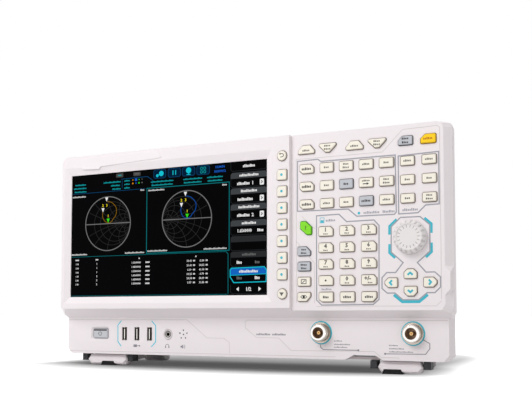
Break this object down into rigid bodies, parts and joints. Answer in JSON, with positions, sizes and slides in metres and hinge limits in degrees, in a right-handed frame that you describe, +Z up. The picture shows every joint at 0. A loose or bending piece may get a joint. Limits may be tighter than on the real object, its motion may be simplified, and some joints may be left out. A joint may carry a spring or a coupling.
{
  "type": "vector network analyzer",
  "caption": "Benchtop vector network analyzer with a wide screen, stepped keypad with knob, coaxial test ports, flip-out front feet and a pull-up handle",
  "frame": {"origin": "middle of the footprint, at the level of the table under the feet", "axes": "+X to the right along the wide front, -Y out of the front panel towards the user, +Z up"},
  "size_m": [0.41, 0.135, 0.224],
  "materials": {
    "housing_white": "fine-textured moulded plastic",
    "housing_rear": "textured moulded plastic",
    "screen_glass": "dark cover glass over the lit display",
    "dark_plastic": "moulded plastic",
    "key_cream": "silky silicone key",
    "key_grey": "silky silicone key",
    "key_green": "silky silicone key",
    "key_yellow": "silky silicone key",
    "knob_white": "satin moulded knob",
    "steel_sheet": "plated sheet steel",
    "nickel_plate": "nickel-plated brass",
    "gold_contact": "gold-plated contact",
    "rubber_black": "matt rubber",
    "board_green": "laminate board with parts",
    "module_aluminium": "milled shielding case"
  },
  "bodies": {
    "housing": {"front_bezel": "housing_white", "rear_cover": "housing_rear", "touch_glass": "screen_glass", "lcd_module": "dark_plastic", "keypad_mat": "key_cream", "rotary_encoder": "steel_sheet", "usb_port_1": "steel_sheet", "usb_port_2": "steel_sheet", "usb_port_3": "steel_sheet", "earphone_jack": "dark_plastic", "speaker": "dark_plastic", "port_1_connector": "nickel_plate", "port_2_connector": "nickel_plate", "port_1_contact": "gold_contact", "port_2_contact": "gold_contact", "rear_foot_left": "rubber_black", "rear_foot_right": "rubber_black", "rear_socket_bracket": "steel_sheet", "power_inlet": "dark_plastic", "fan_frame": "dark_plastic", "keypad_board": "board_green", "chassis_tray": "steel_sheet", "main_board": "board_green", "power_supply": "steel_sheet", "rf_module": "module_aluminium"},
    "mode_key_body": {"mode_key": "key_cream"},
    "mode_setup_key_body": {"mode_setup_key": "key_cream"},
    "measure_key_body": {"measure_key": "key_cream"},
    "measure_setup_key_body": {"measure_setup_key": "key_cream"},
    "tune_key_body": {"tune_key": "key_grey"},
    "preset_key_body": {"preset_key": "key_yellow"},
    "function_key_1_body": {"function_key_1": "key_cream"},
    "function_key_2_body": {"function_key_2": "key_cream"},
    "function_key_3_body": {"function_key_3": "key_cream"},
    "left_key_1_body": {"left_key_1": "key_grey"},
    "left_key_2_body": {"left_key_2": "key_grey"},
    "left_key_3_body": {"left_key_3": "key_cream"},
    "left_key_4_body": {"left_key_4": "key_cream"},
    "help_key_body": {"help_key": "key_green"},
    "arrow_up_key_body": {"arrow_up_key": "key_cream"},
    "arrow_down_key_body": {"arrow_down_key": "key_cream"},
    "arrow_left_key_body": {"arrow_left_key": "key_cream"},
    "arrow_right_key_body": {"arrow_right_key": "key_cream"},
    "menu_key_1_body": {"menu_key_1": "key_cream"},
    "menu_key_2_body": {"menu_key_2": "key_cream"},
    "menu_key_3_body": {"menu_key_3": "key_cream"},
    "menu_key_4_body": {"menu_key_4": "key_cream"},
    "menu_key_5_body": {"menu_key_5": "key_cream"},
    "menu_key_6_body": {"menu_key_6": "key_cream"},
    "menu_key_7_body": {"menu_key_7": "key_cream"},
    "return_key_body": {"return_key": "key_cream"},
    "page_key_body": {"page_key": "key_cream"},
    "power_button_body": {"power_button": "key_grey"},
    "knob": {"encoder_knob": "knob_white"},
    "rotor": {"fan_rotor": "dark_plastic"},
    "handle": {"carry_handle": "housing_rear"},
    "foot_left": {"flip_foot_left": "housing_white", "foot_pad_left": "rubber_black"},
    "foot_right": {"flip_foot_right": "housing_white", "foot_pad_right": "rubber_black"}
  },
  "joints": [
    {"name": "mode_key_press", "type": "slide", "parent": "housing", "child": "mode_key_body", "axis": [0, 1, 0], "range_m": [0, 0.001], "stiffness_N_per_m": 500, "springref_m": -0.0012},
    {"name": "mode_setup_key_press", "type": "slide", "parent": "housing", "child": "mode_setup_key_body", "axis": [0, 1, 0], "range_m": [0, 0.001], "stiffness_N_per_m": 500, "springref_m": -0.0012},
    {"name": "measure_key_press", "type": "slide", "parent": "housing", "child": "measure_key_body", "axis": [0, 1, 0], "range_m": [0, 0.001], "stiffness_N_per_m": 500, "springref_m": -0.0012},
    {"name": "measure_setup_key_press", "type": "slide", "parent": "housing", "child": "measure_setup_key_body", "axis": [0, 1, 0], "range_m": [0, 0.001], "stiffness_N_per_m": 500, "springref_m": -0.0012},
    {"name": "tune_key_press", "type": "slide", "parent": "housing", "child": "tune_key_body", "axis": [0, 1, 0], "range_m": [0, 0.001], "stiffness_N_per_m": 500, "springref_m": -0.0012},
    {"name": "preset_key_press", "type": "slide", "parent": "housing", "child": "preset_key_body", "axis": [0, 1, 0], "range_m": [0, 0.001], "stiffness_N_per_m": 500, "springref_m": -0.0012},
    {"name": "function_key_1_press", "type": "slide", "parent": "housing", "child": "function_key_1_body", "axis": [0, 1, 0], "range_m": [0, 0.001], "stiffness_N_per_m": 500, "springref_m": -0.0012},
    {"name": "function_key_2_press", "type": "slide", "parent": "housing", "child": "function_key_2_body", "axis": [0, 1, 0], "range_m": [0, 0.001], "stiffness_N_per_m": 500, "springref_m": -0.0012},
    {"name": "function_key_3_press", "type": "slide", "parent": "housing", "child": "function_key_3_body", "axis": [0, 1, 0], "range_m": [0, 0.001], "stiffness_N_per_m": 500, "springref_m": -0.0012},
    {"name": "left_key_1_press", "type": "slide", "parent": "housing", "child": "left_key_1_body", "axis": [0, 1, 0], "range_m": [0, 0.001], "stiffness_N_per_m": 500, "springref_m": -0.0012},
    {"name": "left_key_2_press", "type": "slide", "parent": "housing", "child": "left_key_2_body", "axis": [0, 1, 0], "range_m": [0, 0.001], "stiffness_N_per_m": 500, "springref_m": -0.0012},
    {"name": "left_key_3_press", "type": "slide", "parent": "housing", "child": "left_key_3_body", "axis": [0, 1, 0], "range_m": [0, 0.001], "stiffness_N_per_m": 500, "springref_m": -0.0012},
    {"name": "left_key_4_press", "type": "slide", "parent": "housing", "child": "left_key_4_body", "axis": [0, 1, 0], "range_m": [0, 0.001], "stiffness_N_per_m": 500, "springref_m": -0.0012},
    {"name": "help_key_press", "type": "slide", "parent": "housing", "child": "help_key_body", "axis": [0, 1, 0], "range_m": [0, 0.001], "stiffness_N_per_m": 500, "springref_m": -0.0012},
    {"name": "arrow_up_key_press", "type": "slide", "parent": "housing", "child": "arrow_up_key_body", "axis": [0, 1, 0], "range_m": [0, 0.001], "stiffness_N_per_m": 500, "springref_m": -0.0012},
    {"name": "arrow_down_key_press", "type": "slide", "parent": "housing", "child": "arrow_down_key_body", "axis": [0, 1, 0], "range_m": [0, 0.001], "stiffness_N_per_m": 500, "springref_m": -0.0012},
    {"name": "arrow_left_key_press", "type": "slide", "parent": "housing", "child": "arrow_left_key_body", "axis": [0, 1, 0], "range_m": [0, 0.001], "stiffness_N_per_m": 500, "springref_m": -0.0012},
    {"name": "arrow_right_key_press", "type": "slide", "parent": "housing", "child": "arrow_right_key_body", "axis": [0, 1, 0], "range_m": [0, 0.001], "stiffness_N_per_m": 500, "springref_m": -0.0012},
    {"name": "menu_key_1_press", "type": "slide", "parent": "housing", "child": "menu_key_1_body", "axis": [0, 1, 0], "range_m": [0, 0.001], "stiffness_N_per_m": 500, "springref_m": -0.0012},
    {"name": "menu_key_2_press", "type": "slide", "parent": "housing", "child": "menu_key_2_body", "axis": [0, 1, 0], "range_m": [0, 0.001], "stiffness_N_per_m": 500, "springref_m": -0.0012},
    {"name": "menu_key_3_press", "type": "slide", "parent": "housing", "child": "menu_key_3_body", "axis": [0, 1, 0], "range_m": [0, 0.001], "stiffness_N_per_m": 500, "springref_m": -0.0012},
    {"name": "menu_key_4_press", "type": "slide", "parent": "housing", "child": "menu_key_4_body", "axis": [0, 1, 0], "range_m": [0, 0.001], "stiffness_N_per_m": 500, "springref_m": -0.0012},
    {"name": "menu_key_5_press", "type": "slide", "parent": "housing", "child": "menu_key_5_body", "axis": [0, 1, 0], "range_m": [0, 0.001], "stiffness_N_per_m": 500, "springref_m": -0.0012},
    {"name": "menu_key_6_press", "type": "slide", "parent": "housing", "child": "menu_key_6_body", "axis": [0, 1, 0], "range_m": [0, 0.001], "stiffness_N_per_m": 500, "springref_m": -0.0012},
    {"name": "menu_key_7_press", "type": "slide", "parent": "housing", "child": "menu_key_7_body", "axis": [0, 1, 0], "range_m": [0, 0.001], "stiffness_N_per_m": 500, "springref_m": -0.0012},
    {"name": "return_key_press", "type": "slide", "parent": "housing", "child": "return_key_body", "axis": [0, 1, 0], "range_m": [0, 0.001], "stiffness_N_per_m": 500, "springref_m": -0.0012},
    {"name": "page_key_press", "type": "slide", "parent": "housing", "child": "page_key_body", "axis": [0, 1, 0], "range_m": [0, 0.001], "stiffness_N_per_m": 500, "springref_m": -0.0012},
    {"name": "power_button_press", "type": "slide", "parent": "housing", "child": "power_button_body", "axis": [0, 1, 0], "range_m": [0, 0.001], "stiffness_N_per_m": 500, "springref_m": -0.0012},
    {"name": "knob_turn", "type": "hinge", "parent": "housing", "child": "knob", "pos_m": [0.1694, -0.0638, 0.1178], "axis": [0, 1, 0], "continuous": true},
    {"name": "fan_spin", "type": "hinge", "parent": "housing", "child": "rotor", "pos_m": [-0.082, 0.0542, 0.13447], "axis": [0, 1, 0], "continuous": true},
    {"name": "handle_pull", "type": "slide", "parent": "housing", "child": "handle", "axis": [0, 0, 1], "range_m": [0, 0.028]},
    {"name": "foot_left_fold", "type": "hinge", "parent": "housing", "child": "foot_left", "pos_m": [-0.15225, -0.0413, 0.0064], "axis": [-1, 0, 0], "range_deg": [0, 90]},
    {"name": "foot_right_fold", "type": "hinge", "parent": "housing", "child": "foot_right", "pos_m": [0.15545, -0.0413, 0.0064], "axis": [-1, 0, 0], "range_deg": [0, 90]}
  ]
}
